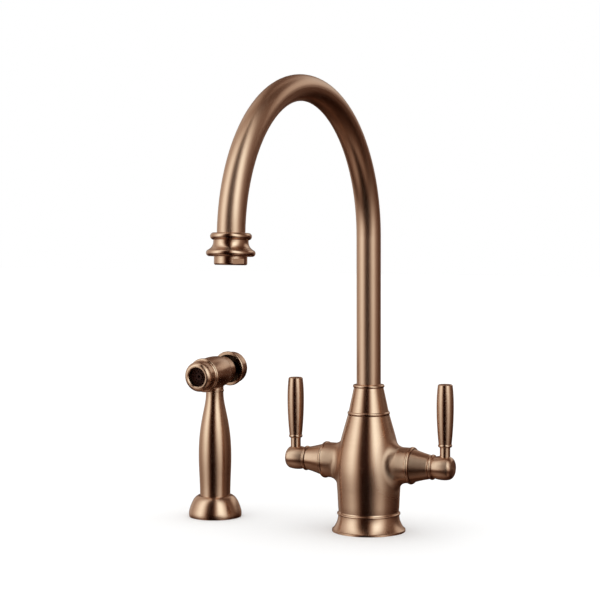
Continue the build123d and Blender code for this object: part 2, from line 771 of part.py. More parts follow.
for name, side in sides.items():
    section = arm_section(side)
    lever_side = side * lever_out

    with BuildPart() as cartridge_body:
        with BuildSketch(section):
            block(cartridge_seat, chamber_end, cavity_radius, cartridge_bore - cartridge_clear)
            block(chamber_end, thread_start, stem_radius + running_gap, cartridge_bore - cartridge_clear)
            block(thread_start, arm_reach, stem_radius + running_gap, cartridge_bore)
            block(arm_reach, arm_reach + gland_flange, stem_radius + running_gap, gland_flange_radius)
            block(arm_reach + gland_flange, gland_end, stem_radius + running_gap, gland_radius)
        revolve(axis=arm_axis)
        with BuildSketch(deck.offset(arm_height)):
            with Locations((side * (moving_start + driver_end) / 2, 0)):
                Rectangle(driver_end - moving_start, cartridge_window)
        extrude(amount=cartridge_bore, both=True, mode=Mode.SUBTRACT)
    cartridge_body.part.label = f"{name}_cartridge_body"
    export_step(cartridge_body.part, f"parts/{name}_cartridge_body.step")

    with BuildPart() as lip_seal:
        with BuildSketch(section):
            block(cartridge_seat, seal_end, passage_radius + lip_seal_step, cavity_radius)
        revolve(axis=arm_axis)
    lip_seal.part.label = f"{name}_lip_seal"
    export_step(lip_seal.part, f"parts/{name}_lip_seal.step")

    with BuildPart() as fixed_disc:
        with BuildSketch(arm_face(side, seal_end)):
            Circle(cavity_radius)
            with PolarLocations(disc_radius / 2, 2):
                Circle(disc_port, mode=Mode.SUBTRACT)
        extrude(amount=disc_height)
    fixed_disc.part.label = f"{name}_fixed_disc"
    export_step(fixed_disc.part, f"parts/{name}_fixed_disc.step")

    with BuildPart() as moving_disc:
        with BuildSketch(arm_face(side, moving_start)):
            Circle(disc_radius)
            with PolarLocations(disc_radius, 2, start_angle=90):
                Circle(disc_notch, mode=Mode.SUBTRACT)
        extrude(amount=disc_height)
    moving_disc.part.label = f"{name}_moving_disc"
    export_step(moving_disc.part, f"parts/{name}_moving_disc.step")

    with BuildPart() as cartridge_stem:
        with BuildSketch(section):
            block(moving_end, driver_end, 0, disc_radius - free_gap)
            block(driver_end, gland_cover, 0, stem_radius)
            block(gland_cover, spline_end, 0, spline_radius)
            with Locations((seal_groove, ring_centre)):
                Rectangle(2 * stem_ring_size + groove_slack, 2 * ring_room, mode=Mode.SUBTRACT)
        revolve(axis=arm_axis)
    cartridge_stem.part.label = f"{name}_cartridge_stem"
    export_step(cartridge_stem.part, f"parts/{name}_cartridge_stem.step")

    with BuildPart() as stem_o_ring:
        with BuildSketch(section):
            with Locations((seal_groove, ring_centre)):
                Circle(stem_ring_size)
        revolve(axis=arm_axis)
    stem_o_ring.part.label = f"{name}_stem_o_ring"
    export_step(stem_o_ring.part, f"parts/{name}_stem_o_ring.step")

    with BuildPart() as arm_bonnet:
        with BuildSketch(section):
            with BuildLine():
                taper = ThreePointArc(
                    (arm_reach + arm_bonnet_groove, arm_bonnet_base),
                    ((arm_reach + bonnet_end) / 2, (arm_bonnet_base + arm_bonnet_tip) / 2 - arm_bonnet_dip),
                    (bonnet_end - arm_bonnet_bevel, arm_bonnet_tip),
                )
                Polyline(
                    taper @ 1,
                    (bonnet_end, arm_bonnet_tip - arm_bonnet_bevel),
                    (bonnet_end, stem_radius + free_gap),
                    (gland_cover, stem_radius + free_gap),
                    (gland_cover, gland_radius + shell_gap),
                    (cover_end, gland_radius + shell_gap),
                    (cover_end, cover_radius),
                    (arm_reach, cover_radius),
                    (arm_reach, arm_bonnet_base - arm_bonnet_groove),
                    (arm_reach + arm_bonnet_groove, arm_bonnet_base - arm_bonnet_groove),
                    taper @ 0,
                )
            make_face()
        revolve(axis=arm_axis)
    arm_bonnet.part.label = f"{name}_arm_bonnet"
    export_step(arm_bonnet.part, f"parts/{name}_arm_bonnet.step")

    with BuildPart() as lever_hub:
        with BuildSketch(section):
            with BuildLine():
                hub_bead = ThreePointArc(
                    (hub_start, hub_bead_radius - hub_bead_round),
                    (hub_start + hub_bead_width / 2, hub_bead_radius),
                    (hub_start + hub_bead_width, hub_bead_radius - hub_bead_round),
                )
                cove = Line(hub_bead @ 1, (hub_start + hub_bead_width + edge_break, hub_cove_radius))
                swell = ThreePointArc(
                    cove @ 1,
                    (hub_start + hub_swell_out, hub_radius),
                    (hub_end - hub_corner, hub_radius - hub_end_step),
                )
                dome = TangentArc((hub_end, 0), (hub_end - hub_dome, hub_face_radius), tangent=(0, 1))
                corner = TangentArc(swell @ 1, dome @ 1, tangent=swell % 1)
                Polyline(
                    dome @ 0,
                    (spline_end, 0),
                    (spline_end, spline_radius),
                    (hub_start, spline_radius),
                    hub_bead @ 0,
                )
            make_face()
        revolve(axis=arm_axis)
        with BuildSketch(deck.offset(socket_floor)):
            with Locations((lever_side, 0)):
                Circle(lever_stem_radius)
        extrude(amount=hub_radius, mode=Mode.SUBTRACT)
        with BuildSketch(deck.offset(thread_floor)):
            with Locations((lever_side, 0)):
                Circle(lever_thread_radius)
        extrude(amount=hub_radius, mode=Mode.SUBTRACT)
        with BuildSketch(deck.offset(arm_height - spline_radius)):
            with Locations((side * grub_out, 0)):
                Circle(grub_radius)
        extrude(amount=-hub_radius, mode=Mode.SUBTRACT)
    lever_hub.part.label = f"{name}_lever_hub"
    export_step(lever_hub.part, f"parts/{name}_lever_hub.step")

    with BuildPart() as grub_screw:
        with BuildSketch(grub_end):
            with Locations((side * grub_out, 0)):
                Circle(grub_radius)
        extrude(amount=grub_length)
        with BuildSketch(grub_end):
            with Locations((side * grub_out, 0)):
                RegularPolygon(grub_radius / 2, 6)
        extrude(amount=grub_socket, mode=Mode.SUBTRACT)
    grub_screw.part.label = f"{name}_grub_screw"
    export_step(grub_screw.part, f"parts/{name}_grub_screw.step")

    with BuildPart() as lever_stem:
        for low, high, radius in (
            (thread_floor, socket_floor, lever_thread_radius),
            (socket_floor, grip_bottom, lever_stem_radius),
            (grip_bottom, grip_hole_top, lever_thread_radius),
        ):
            with BuildSketch(deck.offset(low)):
                with Locations((lever_side, 0)):
                    Circle(radius)
            extrude(amount=high - low)
    lever_stem.part.label = f"{name}_lever_stem"
    export_step(lever_stem.part, f"parts/{name}_lever_stem.step")

    with BuildPart() as lever_grip:
        with BuildSketch(Plane(origin=(lever_side, 0, 0), x_dir=(1, 0, 0), z_dir=(0, -1, 0))):
            with BuildLine():
                grip_bead = ThreePointArc(
                    (grip_foot_radius - edge_break, grip_bottom),
                    (grip_bead_radius, grip_bottom + grip_bead_height / 2),
                    (grip_foot_radius, grip_bottom + grip_bead_height),
                )
                side_line = Spline(
                    grip_bead @ 1,
                    (grip_flare_radius, grip_flare_height),
                    (grip_radius, grip_belly_height),
                    (grip_end_radius, grip_top - grip_end_round),
                    tangents=((0.1, 1), (-0.14, 1)),
                )
                Polyline(
                    side_line @ 1,
                    (grip_end_radius - grip_end_round, grip_top - grip_end_round / 4),
                    (0, grip_top),
                    (0, grip_hole_top),
                    (lever_thread_radius, grip_hole_top),
                    (lever_thread_radius, grip_bottom),
                    grip_bead @ 0,
                )
            make_face()
        revolve(axis=Axis((lever_side, 0, 0), (0, 0, 1)))
    lever_grip.part.label = f"{name}_lever_grip"
    export_step(lever_grip.part, f"parts/{name}_lever_grip.step")

# Spray holder, fixed to the deck beside the faucet
wand_section = Plane(origin=(-holder_out, 0, 0), x_dir=(1, 0, 0), z_dir=(0, -1, 0))
wand_axis = Axis((-holder_out, 0, 0), (0, 0, 1))
holder_mouth = wand_foot_radius + holder_mouth_gap
holder_gasket_inner = (holder_thread_radius + holder_radius - gasket_width) / 2
holder_gasket_outer = holder_gasket_inner + gasket_width
liner_top = holder_height - holder_lip

with BuildPart() as spray_holder:
    with BuildSketch(wand_section):
        with BuildLine():
            bell = Spline(
                (holder_radius - edge_break, 0),
                (holder_radius, holder_rim_height),
                (holder_radius - holder_side_step, holder_side_height),
                (holder_radius - holder_shoulder_step, holder_shoulder_height),
                (holder_top_radius + holder_crown_step, holder_height - holder_crown_drop),
                (holder_top_radius, holder_height),
            )
            Polyline(
                bell @ 1,
                (holder_mouth, holder_height),
                (holder_mouth, liner_top),
                (liner_radius, liner_top),
                (liner_radius, holder_thread_depth),
                (holder_thread_radius, holder_thread_depth),
                (holder_thread_radius, 0),
                bell @ 0,
            )
        make_face()
        block(holder_gasket_inner, holder_gasket_outer, 0, gasket_thickness, Mode.SUBTRACT)
    revolve(axis=wand_axis)
spray_holder.part.label = "spray_holder"
export_step(spray_holder.part, "parts/spray_holder.step")

with BuildPart() as holder_gasket:
    with BuildSketch(wand_section):
        block(holder_gasket_inner, holder_gasket_outer, 0, gasket_thickness)
    revolve(axis=wand_axis)
holder_gasket.part.label = "holder_gasket"
export_step(holder_gasket.part, "parts/holder_gasket.step")

# Liner: a plastic cone that the foot of the wand drops into
seat_high = liner_top - liner_mouth_height
seat_bottom = seat_high - liner_seat_drop
liner_mouth = holder_mouth - liner_lip
liner_bore = liner_mouth - liner_seat_slope
with BuildPart() as holder_liner:
    with BuildSketch(wand_section):
        with BuildLine():
            Polyline(
                (liner_radius, holder_thread_depth),
                (liner_radius, liner_top),
                (liner_mouth, liner_top),
                (liner_mouth, seat_high),
                (liner_bore, seat_bottom),
                (liner_bore, holder_thread_depth),
                close=True,
            )
        make_face()
    revolve(axis=wand_axis)
holder_liner.part.label = "holder_liner"
export_step(holder_liner.part, "parts/holder_liner.step")

# Wand handle: a turned shell around the water tube
foot_inner = wand_foot_radius - liner_seat_slope
handle_bore = wand_foot_radius - wand_wall
tube_clamp = wand_top - tube_clamp_length
cavity_top = tube_clamp - cavity_taper
with BuildPart() as wand_handle:
    with BuildSketch(wand_section):
        with BuildLine():
            side_line = Spline(
                (wand_foot_radius, seat_high + wand_skirt),
                (wand_belly_radius, wand_belly_height),
                (wand_shoulder_radius, wand_shoulder_height),
                (wand_neck_radius + wand_throat_step, wand_top - wand_throat_drop),
                (wand_neck_radius + wand_collar_step, wand_top - wand_collar_drop),
                (wand_neck_radius, wand_top),
                tangents=((0, 1), (0, 1)),
            )
            Polyline(
                side_line @ 1,
                (water_tube_radius, wand_top),
                (water_tube_radius, tube_clamp),
                (handle_bore, cavity_top),
                (handle_bore, wand_bottom),
                (foot_inner, wand_bottom),
                (foot_inner, seat_bottom + free_gap),
                (wand_foot_radius, seat_high + free_gap),
                side_line @ 0,
            )
        make_face()
    revolve(axis=wand_axis)
wand_handle.part.label = "wand_handle"
export_step(wand_handle.part, "parts/wand_handle.step")

plug_top = wand_bottom + plug_height
with BuildPart() as handle_plug:
    with BuildSketch(wand_section):
        block(nipple_radius + running_gap, handle_bore, wand_bottom, plug_top)
    revolve(axis=wand_axis)
handle_plug.part.label = "handle_plug"
export_step(handle_plug.part, "parts/handle_plug.step")

# Hose connector: the wand turns on its nipple, and a clip keeps it in the plug
nipple_start = wand_bottom - free_gap
connector_low = nipple_start - connector_skirt
nipple_top = plug_top + nipple_rise
clip_low = plug_top + free_gap
clip_groove = nipple_radius - clip_groove_depth
spigot_top = nipple_top + spigot_length
tube_low = nipple_top + tube_start_rise
water_bore = water_tube_radius - water_tube_wall
spigot_ring_centre = water_bore - face_gap - stem_ring_size
spigot_ring_height = spigot_top - spigot_ring_drop
hose_spigot_radius = water_bore - shell_gap
ring_half = stem_ring_size + groove_slack / 2

with BuildPart() as hose_connector:
    with BuildSketch(wand_section):
        block(connector_bore, connector_skirt_radius, connector_low, nipple_start)
        block(connector_bore, nipple_radius, nipple_start, nipple_top)
        block(connector_bore, hose_spigot_radius, nipple_top, spigot_top)
        block(clip_groove, nipple_radius, clip_low, clip_low + clip_height, Mode.SUBTRACT)
        block(
            spigot_ring_centre - ring_room,
            hose_spigot_radius,
            spigot_ring_height - ring_half,
            spigot_ring_height + ring_half,
            Mode.SUBTRACT,
        )
        block(0, hose_socket_radius, connector_low, connector_low + hose_socket_depth, Mode.SUBTRACT)
    revolve(axis=wand_axis)
hose_connector.part.label = "hose_connector"
export_step(hose_connector.part, "parts/hose_connector.step")

with BuildPart() as connector_clip:
    with BuildSketch(deck.offset(clip_low)):
        with Locations((-holder_out, 0)):
            Circle(nipple_radius + clip_proud)
            Circle(clip_groove, mode=Mode.SUBTRACT)
        block(
            -holder_out - clip_opening / 2,
            -holder_out + clip_opening / 2,
            -nipple_radius - clip_proud,
            0,
            Mode.SUBTRACT,
        )
    extrude(amount=clip_height)
connector_clip.part.label = "connector_clip"
export_step(connector_clip.part, "parts/connector_clip.step")

with BuildPart() as connector_o_ring:
    with BuildSketch(wand_section):
        with Locations((spigot_ring_centre, spigot_ring_height)):
            Circle(stem_ring_size)
    revolve(axis=wand_axis)
connector_o_ring.part.label = "connector_o_ring"
export_step(connector_o_ring.part, "parts/connector_o_ring.step")

with BuildPart() as water_tube:
    with BuildSketch(wand_section):
        block(water_bore, water_tube_radius, tube_low, wand_top)
    revolve(axis=wand_axis)
water_tube.part.label = "water_tube"
export_step(water_tube.part, "parts/water_tube.step")

neck_ring_top = wand_top + neck_ring_height
with BuildPart() as neck_ring:
    with BuildSketch(wand_section):
        with BuildLine():
            round_edge = ThreePointArc(
                (neck_ring_radius - edge_break, wand_top),
                (neck_ring_radius, wand_top + neck_ring_height / 2),
                (neck_ring_radius - edge_break, neck_ring_top),
            )
            Polyline(
                round_edge @ 1,
                (inlet_radius, neck_ring_top),
                (inlet_radius, wand_top),
                round_edge @ 0,
            )
        make_face()
    revolve(axis=wand_axis)
neck_ring.part.label = "neck_ring"
export_step(neck_ring.part, "parts/neck_ring.step")

# Spray head: everything turned about the head's own axis, which dips towards the nozzle
tilt = radians(head_tilt)
forward = Vector(0, -cos(tilt), -sin(tilt))
head_centre = Vector(-holder_out, 0, head_height)
head_axis = Axis(head_centre, forward)
head_section = Plane(origin=head_centre, x_dir=forward, z_dir=(-1, 0, 0))


def head_face(distance):
    """A plane across the head, at a distance forward of the wand's centre line."""
    return Plane(origin=head_centre + forward * distance, x_dir=(1, 0, 0), z_dir=forward)


thread_end = head_front + head_thread_length
head_rear_end = head_front_radius + head_end_step  # radius where the belly meets the rounded shoulder
pocket_radius = cup_boss_radius + free_gap
pocket_end = -inlet_radius - divider
with BuildPart() as head_barrel:
    with BuildSketch(head_section):
        with BuildLine():
            belly = ThreePointArc(
                (head_step + head_round, head_rear_end),
                (head_belly_out, head_radius),
                (head_front, head_front_radius),
            )
            shoulder = TangentArc(
                belly @ 0, (head_step, head_rear_end - head_round_drop), tangent=-(belly % 0)
            )
            Polyline(
                shoulder @ 1,
                (head_step, head_rear_radius),
                (head_rear + edge_break, head_rear_radius),
                (head_rear, head_rear_radius - edge_break),
                (head_rear, 0),
                (thread_end, 0),
                (thread_end, head_thread_radius),
                (head_front, head_thread_radius),
                belly @ 1,
            )
        make_face()
    revolve(axis=head_axis)
    with BuildSketch(deck.offset(neck_ring_top)):
        with Locations((-holder_out, 0)):
            Circle(neck_ring_radius - edge_break)
    extrude(amount=head_height - neck_ring_top)
    with BuildSketch(head_section):
        block(head_rear, pocket_end, 0, pocket_radius)
        block(pocket_end, -inlet_radius, 0, valve_stem_radius + running_gap)
        block(-inlet_radius, thread_end, 0, chamber_radius)
    revolve(axis=head_axis, mode=Mode.SUBTRACT)
    with BuildSketch(deck.offset(neck_ring_top)):
        with Locations((-holder_out, 0)):
            Circle(inlet_radius)
    extrude(amount=head_height - neck_ring_top, mode=Mode.SUBTRACT)
head_barrel.part.label = "head_barrel"
export_step(head_barrel.part, "parts/head_barrel.step")

with BuildPart() as valve_seat:
    with BuildSketch(head_section):
        block(seat_start, seat_start + seat_height, seat_bore, chamber_radius)
    revolve(axis=head_axis)
valve_seat.part.label = "valve_seat"
export_step(valve_seat.part, "parts/valve_seat.step")

nozzle_end = head_front + nozzle_length
face_end = nozzle_end - nozzle_lip_depth
face_start = face_end - face_height
face_radius = head_thread_radius - face_step
nozzle_start = head_front + free_gap
ridge = head_front + nozzle_ridge_out
ridge_end = ridge + nozzle_ridge_width
with BuildPart() as nozzle_shell:
    with BuildSketch(head_section):
        with BuildLine():
            crest = ThreePointArc(
                (nozzle_start, head_front_radius - edge_break),
                (ridge, nozzle_ridge_radius),
                (ridge_end, nozzle_radius + nozzle_shoulder),
            )
            shoulder = Line(crest @ 1, (ridge_end + nozzle_shoulder, nozzle_radius))
            barrel_line = Line(shoulder @ 1, (nozzle_end - nozzle_corner, nozzle_radius))
            front_corner = TangentArc(
                barrel_line @ 1,
                (nozzle_end - nozzle_lip_round, nozzle_lip_radius + nozzle_lip_round),
                tangent=barrel_line % 1,
            )
            lip_round = ThreePointArc(
                front_corner @ 1,
                (nozzle_end - nozzle_lip_round / 4, nozzle_lip_radius),
                (nozzle_end, nozzle_lip_radius - nozzle_lip_round),
            )
            Polyline(
                lip_round @ 1,
                (nozzle_end, nozzle_bore + nozzle_bore_bevel),
                (nozzle_end - nozzle_bore_bevel, nozzle_bore),
                (face_end, nozzle_bore),
                (face_end, face_radius),
                (thread_end, face_radius),
                (thread_end, head_thread_radius),
                (nozzle_start, head_thread_radius),
                crest @ 0,
            )
        make_face()
    revolve(axis=head_axis)
nozzle_shell.part.label = "nozzle_shell"
export_step(nozzle_shell.part, "parts/nozzle_shell.step")

with BuildPart() as face_seal:
    with BuildSketch(head_section):
        block(thread_end, face_start, chamber_radius, face_radius)
    revolve(axis=head_axis)
face_seal.part.label = "face_seal"
export_step(face_seal.part, "parts/face_seal.step")

with BuildPart() as spray_face:
    with BuildSketch(head_face(face_start)):
        Circle(face_radius)
    extrude(amount=face_height)
    with BuildSketch(head_face(face_end)):
        Circle(face_boss_radius)
    extrude(amount=face_boss_height)
    with BuildSketch(head_face(face_start)):
        Circle(centre_jet_radius)
        for ring_radius, jets in jet_rings:
            with PolarLocations(ring_radius, jets):
                Circle(jet_radius)
    extrude(amount=face_height + face_boss_height, mode=Mode.SUBTRACT)
spray_face.part.label = "spray_face"
export_step(spray_face.part, "parts/spray_face.step")

# Thumb cup: pressed forward, its stem pushes the poppet off the seat
cup_inner = cup_radius - cup_wall
cup_bottom = cup_rear + cup_floor
stem_start = cup_rear + cup_stem_seat
boss_end = head_rear + cup_boss_reach
bead_end = cup_front - cup_bead_width
with BuildPart() as thumb_cup:
    with BuildSketch(head_section):
        with BuildLine():
            cup_bead = ThreePointArc(
                (cup_front, cup_radius - cup_bead_round),
                (cup_front - cup_bead_width / 2, cup_radius),
                (bead_end, cup_back_radius + edge_break),
            )
            side_line = Polyline(
                cup_bead @ 1,
                (bead_end - edge_break, cup_back_radius),
                (cup_rear + cup_corner, cup_back_radius),
            )
            back_corner = TangentArc(
                side_line @ 1, (cup_rear, cup_back_radius - cup_corner), tangent=(-1, 0)
            )
            Polyline(
                back_corner @ 1,
                (cup_rear, 0),
                (stem_start, 0),
                (stem_start, valve_stem_radius),
                (boss_end, valve_stem_radius),
                (boss_end, cup_boss_radius),
                (cup_bottom, cup_boss_radius),
                (cup_bottom, cup_inner),
                (cup_front - edge_break, cup_inner),
                (cup_front, cup_inner + edge_break),
                cup_bead @ 0,
            )
        make_face()
    revolve(axis=head_axis)
thumb_cup.part.label = "thumb_cup"
export_step(thumb_cup.part, "parts/thumb_cup.step")

poppet_start = seat_start + seat_height + shell_gap
poppet_end = poppet_start + poppet_thickness
with BuildPart() as valve_stem:
    with BuildSketch(head_section):
        block(stem_start, poppet_start, 0, valve_stem_radius)
        block(poppet_start, poppet_end, 0, stem_waist)
        block(poppet_end, poppet_end + stem_head, 0, valve_stem_radius)
    revolve(axis=head_axis)
valve_stem.part.label = "valve_stem"
export_step(valve_stem.part, "parts/valve_stem.step")

with BuildPart() as valve_poppet:
    with BuildSketch(head_section):
        block(poppet_start, poppet_end, stem_waist, poppet_radius)
    revolve(axis=head_axis)
valve_poppet.part.label = "valve_poppet"
export_step(valve_poppet.part, "parts/valve_poppet.step")

with BuildPart() as button_spring:
    coil_start = head_centre + forward * (boss_end + spring_margin)
    coil(coil_start, forward, pocket_end - boss_end - 2 * spring_margin, valve_stem_radius)
button_spring.part.label = "button_spring"
export_step(button_spring.part, "parts/button_spring.step")
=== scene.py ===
import json
import math

import bpy
from mathutils import Euler, Matrix, Vector

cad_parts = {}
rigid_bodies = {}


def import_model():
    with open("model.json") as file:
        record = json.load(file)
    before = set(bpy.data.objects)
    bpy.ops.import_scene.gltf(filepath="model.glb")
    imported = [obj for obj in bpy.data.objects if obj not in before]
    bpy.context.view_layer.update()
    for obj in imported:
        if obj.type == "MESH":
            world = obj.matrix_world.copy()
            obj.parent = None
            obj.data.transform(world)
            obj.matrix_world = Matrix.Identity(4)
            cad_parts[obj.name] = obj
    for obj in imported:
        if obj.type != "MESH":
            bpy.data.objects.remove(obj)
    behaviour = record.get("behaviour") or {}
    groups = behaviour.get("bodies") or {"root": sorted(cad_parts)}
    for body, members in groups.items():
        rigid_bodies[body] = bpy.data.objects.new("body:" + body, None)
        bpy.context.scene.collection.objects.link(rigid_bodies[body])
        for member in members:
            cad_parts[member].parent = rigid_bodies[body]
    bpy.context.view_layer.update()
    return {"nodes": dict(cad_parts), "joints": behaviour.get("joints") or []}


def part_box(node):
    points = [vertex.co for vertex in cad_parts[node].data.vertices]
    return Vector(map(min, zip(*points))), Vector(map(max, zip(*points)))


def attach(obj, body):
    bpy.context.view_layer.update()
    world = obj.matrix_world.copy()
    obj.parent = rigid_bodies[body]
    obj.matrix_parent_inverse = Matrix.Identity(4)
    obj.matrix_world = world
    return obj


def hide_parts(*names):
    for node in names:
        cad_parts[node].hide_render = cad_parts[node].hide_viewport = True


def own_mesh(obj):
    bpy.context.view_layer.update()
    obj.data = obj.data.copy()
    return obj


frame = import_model()
nodes = frame["nodes"]
scene = bpy.context.scene
print("frame loaded:", len(nodes), "pieces")

# Places that the finishes turn round, in metres
joints = {joint["name"]: joint for joint in frame["joints"]}
leverOut, _, armHeight = joints["cold_lever_turn"]["pos_m"]
sprayOut = joints["wand_swivel"]["pos_m"][0]
headHeight = 0.1389
headTilt = math.radians(3.2)
archRadius = 0.1258
archHeight = 0.2701
archTurn = math.radians(177.5)
outletDrop = 0.0248
outletTilt = math.pi - archTurn
outletMouth = (
    0,
    -archRadius * (1 - math.cos(archTurn)) - outletDrop * math.sin(archTurn),
    archHeight + archRadius * math.sin(archTurn) + outletDrop * math.cos(archTurn),
)
towardsArms = (0, math.pi / 2, 0)
alongHead = (math.pi / 2 + headTilt, 0, 0)
alongOutlet = (-outletTilt, 0, 0)


# Small helpers for trees of nodes, laid out in rows so that they can be read
nodeRows = {"length": 10, "across": 190, "down": -260}


def addNode(tree, kind, inputs=None, **settings):
    made = tree.nodes.new(kind)
    row, place = divmod(len(tree.nodes), nodeRows["length"])
    made.location = (place * nodeRows["across"], row * nodeRows["down"])
    for key, value in settings.items():
        setattr(made, key, value)
    for key, value in (inputs or {}).items():
        if isinstance(value, bpy.types.NodeSocket):
            tree.links.new(value, made.inputs[key])
        else:
            made.inputs[key].default_value = value
    return made


def calc(tree, operation, *values):
    return addNode(tree, "ShaderNodeMath", dict(enumerate(values)), operation=operation).outputs[0]


def vectorCalc(tree, operation, *values):
    made = addNode(tree, "ShaderNodeVectorMath", dict(enumerate(values)), operation=operation)
    return made.outputs["Value" if operation in ("LENGTH", "DOT_PRODUCT") else "Vector"]


def product(tree, first, *others):
    for other in others:
        first = calc(tree, "MULTIPLY", first, other)
    return first


def vectorOf(tree, x=0.0, y=0.0, z=0.0):
    return addNode(tree, "ShaderNodeCombineXYZ", {0: x, 1: y, 2: z}).outputs[0]


def partsOf(tree, vector):
    return addNode(tree, "ShaderNodeSeparateXYZ", {0: vector}).outputs


def fromAxis(tree, local):
    return vectorCalc(tree, "LENGTH", vectorCalc(tree, "MULTIPLY", local, (1, 1, 0)))


def smooth(tree, value, low, high, outLow=0.0, outHigh=1.0):
    inputs = {"Value": value, "From Min": low, "From Max": high, "To Min": outLow, "To Max": outHigh}
    return addNode(tree, "ShaderNodeMapRange", inputs, interpolation_type="SMOOTHSTEP").outputs["Result"]


# A Mix node has its sockets for numbers, vectors and colours one after the other
def mixNumber(tree, factor, first, second):
    return addNode(tree, "ShaderNodeMix", {"Factor": factor, 2: first, 3: second}).outputs[0]


def mixVector(tree, factor, first, second):
    inputs = {"Factor": factor, 4: first, 5: second}
    return addNode(tree, "ShaderNodeMix", inputs, data_type="VECTOR").outputs[1]


def mixColour(tree, factor, first, second):
    inputs = {"Factor": factor, 6: first, 7: second}
    return addNode(tree, "ShaderNodeMix", inputs, data_type="RGBA").outputs[2]


def newGroup(name, inputs, outputs):
    tree = bpy.data.node_groups.new(name, "ShaderNodeTree")
    for socketName, kind, value in inputs:
        made = tree.interface.new_socket(socketName, in_out="INPUT", socket_type="NodeSocket" + kind)
        if value is not None:
            made.default_value = value
    for socketName, kind in outputs:
        tree.interface.new_socket(socketName, in_out="OUTPUT", socket_type="NodeSocket" + kind)
    return tree, tree.nodes.new("NodeGroupInput").outputs, tree.nodes.new("NodeGroupOutput")


def useGroup(tree, group, inputs):
    made = tree.nodes.new("ShaderNodeGroup")
    made.node_tree = group
    for key, value in inputs.items():
        if isinstance(value, bpy.types.NodeSocket):
            tree.links.new(value, made.inputs[key])
        else:
            made.inputs[key].default_value = value
    return made.outputs


def newMaterial(name):
    made = bpy.data.materials.new(name)
    made.use_nodes = True
    made.node_tree.nodes.clear()
    return made, made.node_tree


def finishMaterial(tree, **inputs):
    named = {key.replace("_", " "): value for key, value in inputs.items()}
    shader = addNode(tree, "ShaderNodeBsdfPrincipled", named)
    addNode(tree, "ShaderNodeOutputMaterial", {"Surface": shader.outputs[0]})


# Brush lines: fine scratches and broader bands. On a turned piece they are close in height and
# radius and run round it; on the spout they are close round it and run along it
lineScale = {"Lines": 1.0, "Bands": 0.17}
lineDetail = 2.0


def makeBrushLines():
    tree, given, out = newGroup(
        "brushLines",
        [("Vector", "Vector", None), ("Round", "Float", 60.0), ("Height", "Float", 3000.0),
         ("Radius", "Float", 3000.0)],
        [("Lines", "Float"), ("Bands", "Float")],
    )
    stretch = vectorOf(tree, given["Round"], given["Round"], given["Height"])
    stretched = vectorCalc(tree, "MULTIPLY", given["Vector"], stretch)
    radius = calc(tree, "MULTIPLY", fromAxis(tree, given["Vector"]), given["Radius"])
    for name, scale in lineScale.items():
        inputs = {"Vector": stretched, "W": radius, "Scale": scale, "Detail": lineDetail}
        noise = addNode(tree, "ShaderNodeTexNoise", inputs, noise_dimensions="4D")
        tree.links.new(noise.outputs["Fac"], out.inputs[name])
    return tree


# Patina with painted shade darkens the creases, where other faces close in, and rubbed wear with a
# painted highlight lightens the edges: how far away the other faces may be, in metres, and the
# openness at which it is full and at which it is gone
wearAndLightSamples = 8
wearAndPaintedLight = {
    "Crease": {"reach": 0.0022, "open": (0.05, 0.5), "inside": False},
    "Edge": {"reach": 0.0006, "open": (0.45, 0.95), "inside": True},
}


def makeCreaseAndEdge():
    tree, given, out = newGroup(
        "creaseAndEdge",
        [(name, "Float", look["reach"]) for name, look in wearAndPaintedLight.items()],
        [(name, "Float") for name in wearAndPaintedLight],
    )
    for name, look in wearAndPaintedLight.items():
        reach = {"Distance": given[name]}
        sampling = {"samples": wearAndLightSamples, "inside": look["inside"]}
        openness = addNode(tree, "ShaderNodeAmbientOcclusion", reach, **sampling)
        wearAndLight = smooth(tree, openness.outputs["AO"], *look["open"], 1.0, 0.0)
        tree.links.new(wearAndLight, out.inputs[name])
    return tree


# Soft cloudy change over a few centimetres, and fine speckle
noiseDetail = {"Cloud": 3.0, "Speck": 1.0}


def makeCloudAndSpeck():
    tree, given, out = newGroup(
        "cloudAndSpeck",
        [("Vector", "Vector", None), ("Cloud", "Float", 40.0), ("Speck", "Float", 2500.0)],
        [("Cloud", "Float"), ("Speck", "Float")],
    )
    for name, detail in noiseDetail.items():
        inputs = {"Vector": given["Vector"], "Scale": given[name], "Detail": detail}
        noise = addNode(tree, "ShaderNodeTexNoise", inputs)
        tree.links.new(noise.outputs["Fac"], out.inputs[name])
    return tree


# The colour and roughness of the aged copper finish, with painted shade in creases and hollows and a
# painted highlight on edges, and how much each cause changes them
tone = {
    "lines": 0.6,
    "bands": 0.12,
    "clouds": 0.2,
    "brownToPale": (0.26, 0.68),
    # edges lighter by rubbed wear and a painted highlight
    "edgeWearAndHighlight": 0.25,
    # creases darker by patina and painted shade
    "creasePatinaAndShade": 0.6,
    # painted shade inside the hollows, in colour and then in brightness
    "paintedHollowShade": 0.96,
    "paintedHollowDimming": -0.6,
    "middle": 0.36,
    "roughLines": 0.08,
    "roughCrease": 0.12,
    "roughHollow": 0.25,
}


